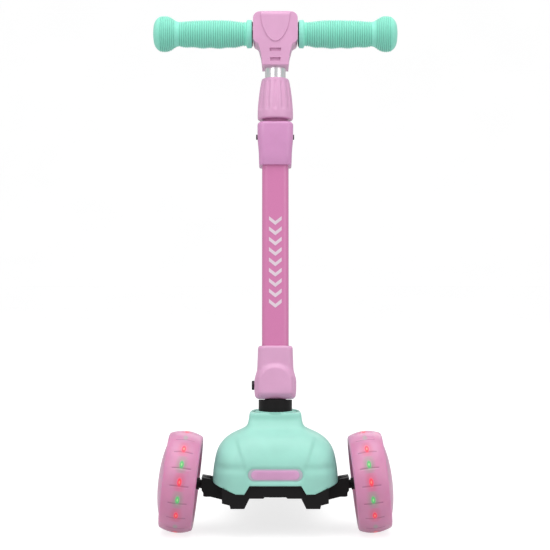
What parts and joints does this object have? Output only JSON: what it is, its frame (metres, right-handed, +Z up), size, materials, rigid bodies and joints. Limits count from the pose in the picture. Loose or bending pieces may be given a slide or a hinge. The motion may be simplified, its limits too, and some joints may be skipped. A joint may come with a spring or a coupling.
{
  "type": "kick scooter",
  "caption": "Folding three-wheeled child's kick scooter with lean steering, a telescopic T-bar, lit urethane front wheels and a rear fender brake.",
  "frame": {"origin": "middle of the overall box, on the ground under the wheels", "axes": "+Z up; +Y towards the rear wheel, so the front faces -Y; +X to the right for someone who looks at the front"},
  "size_m": [0.298, 0.532, 0.6239],
  "materials": {
    "pink_plastic": "moulded, satin to slightly glossy",
    "pink_paint": "smooth gloss paint on aluminium",
    "mint_plastic": "moulded, satin",
    "mint_rubber": "soft ribbed rubber",
    "black_plastic": "fine grained, glass-filled nylon",
    "white_plastic": "moulded, satin",
    "pink_urethane": "cast, milky and translucent",
    "light_ring": "clear strip with red and green lights",
    "mat_rubber": "matte, raised grip bars",
    "black_rubber": "matte",
    "nylon": "plain moulded nylon",
    "bright_aluminium": "bright anodised, drawn",
    "steel": "zinc plated",
    "dark_steel": "black oxide"
  },
  "bodies": {
    "root": {"front_chassis": "black_plastic", "chassis_screws": "dark_steel", "bonnet": "mint_plastic", "badge": "pink_plastic", "lean_shaft": "dark_steel", "lean_nut": "dark_steel", "centring_rubbers": "black_rubber", "kingpins": "dark_steel", "deck": "black_plastic", "deck_mat": "mat_rubber", "rear_axle": "dark_steel", "rear_spacers": "steel", "brake_pin": "steel", "brake_spring": "steel"},
    "column": {"column_post": "black_plastic", "lean_bushes": "nylon"},
    "stem": {"fold_block": "pink_plastic", "fold_pivot": "dark_steel", "fold_lock_spring": "steel", "spring_plug": "nylon", "stem_tube": "pink_paint", "upper_collar": "pink_plastic", "collar_bolt": "dark_steel", "collet": "pink_plastic"},
    "latch": {"fold_lock_pin": "steel", "fold_release_button": "black_plastic"},
    "knob": {"lock_knob": "pink_plastic"},
    "wedge": {"wedge_ring": "nylon"},
    "bar": {"inner_tube": "bright_aluminium", "inner_tube_guide": "nylon", "head_front_shell": "pink_plastic", "head_rear_shell": "pink_plastic", "head_screws": "dark_steel", "crossbar_tube": "bright_aluminium", "grip_rings": "black_plastic", "grip_left": "mint_rubber", "grip_right": "mint_rubber"},
    "tie": {"tie_rod": "steel"},
    "rear_wheel": {"rear_tyre": "pink_urethane", "rear_core": "mint_plastic", "rear_bearings": "steel"},
    "brake": {"brake_fender": "pink_plastic", "brake_pad": "black_rubber"},
    "left_knuckle": {"knuckle_left": "black_plastic", "axle_bolt_left": "dark_steel", "magnet_sleeve_left": "dark_steel"},
    "left_wheel": {"tyre_left": "pink_urethane", "light_ring_left": "light_ring", "core_left": "white_plastic", "bearings_left": "steel", "hub_cap_left": "pink_urethane"},
    "right_knuckle": {"knuckle_right": "black_plastic", "axle_bolt_right": "dark_steel", "magnet_sleeve_right": "dark_steel"},
    "right_wheel": {"tyre_right": "pink_urethane", "light_ring_right": "light_ring", "core_right": "white_plastic", "bearings_right": "steel", "hub_cap_right": "pink_urethane"}
  },
  "joints": [
    {"name": "lean_turn", "type": "hinge", "parent": "root", "child": "column", "pos_m": [0, -0.191, 0.108], "axis": [0, 1, 0], "range_deg": [-8, 8], "stiffness_Nm_per_rad": 45, "deforming": ["centring_rubbers"]},
    {"name": "fold_turn", "type": "hinge", "parent": "column", "child": "stem", "pos_m": [0, -0.18427, 0.172], "axis": [-1, 0, 0], "range_deg": [0, 83]},
    {"name": "latch_slide", "type": "slide", "parent": "stem", "child": "latch", "axis": [0, -0.1045, -0.9945], "range_m": [0, 0.0045], "stiffness_N_per_m": 300, "springref_m": 0.0045},
    {"name": "knob_turn", "type": "hinge", "parent": "stem", "child": "knob", "pos_m": [0, -0.14769, 0.52008], "axis": [0, 0.1045, 0.9945], "range_deg": [0, 90]},
    {"name": "wedge_slide", "type": "slide", "parent": "stem", "child": "wedge", "axis": [0, -0.1045, -0.9945], "range_m": [0, 0.0016]},
    {"name": "height_slide", "type": "slide", "parent": "stem", "child": "bar", "axis": [0, 0.1045, 0.9945], "range_m": [0, 0.13]},
    {"name": "tie_slide", "type": "slide", "parent": "root", "child": "tie", "axis": [-1, 0, 0], "range_m": [-0.008, 0.008]},
    {"name": "rear_spin", "type": "hinge", "parent": "root", "child": "rear_wheel", "pos_m": [0, 0.214, 0.04], "axis": [1, 0, 0], "continuous": true},
    {"name": "brake_press", "type": "hinge", "parent": "root", "child": "brake", "pos_m": [0, 0.17, 0.062], "axis": [-1, 0, 0], "range_deg": [0, 4], "stiffness_Nm_per_rad": 6},
    {"name": "left_steer", "type": "hinge", "parent": "root", "child": "left_knuckle", "pos_m": [-0.08, -0.206, 0.056], "axis": [0, 0, 1], "range_deg": [-12, 12]},
    {"name": "left_spin", "type": "hinge", "parent": "left_knuckle", "child": "left_wheel", "pos_m": [-0.111, -0.206, 0.05986], "axis": [-0.9932, 0, 0.1167], "continuous": true},
    {"name": "right_steer", "type": "hinge", "parent": "root", "child": "right_knuckle", "pos_m": [0.08, -0.206, 0.056], "axis": [0, 0, 1], "range_deg": [-12, 12]},
    {"name": "right_spin", "type": "hinge", "parent": "right_knuckle", "child": "right_wheel", "pos_m": [0.111, -0.206, 0.05986], "axis": [0.9932, 0, 0.1167], "continuous": true}
  ],
  "couplings": [
    {"joint": "wedge_slide", "follows": "knob_turn", "m_per_rad": 0.00095493},
    {"joint": "tie_slide", "follows": "lean_turn", "m_per_rad": 0.053},
    {"joint": "left_steer", "follows": "lean_turn", "ratio": 1.3947},
    {"joint": "right_steer", "follows": "lean_turn", "ratio": 1.3947}
  ]
}
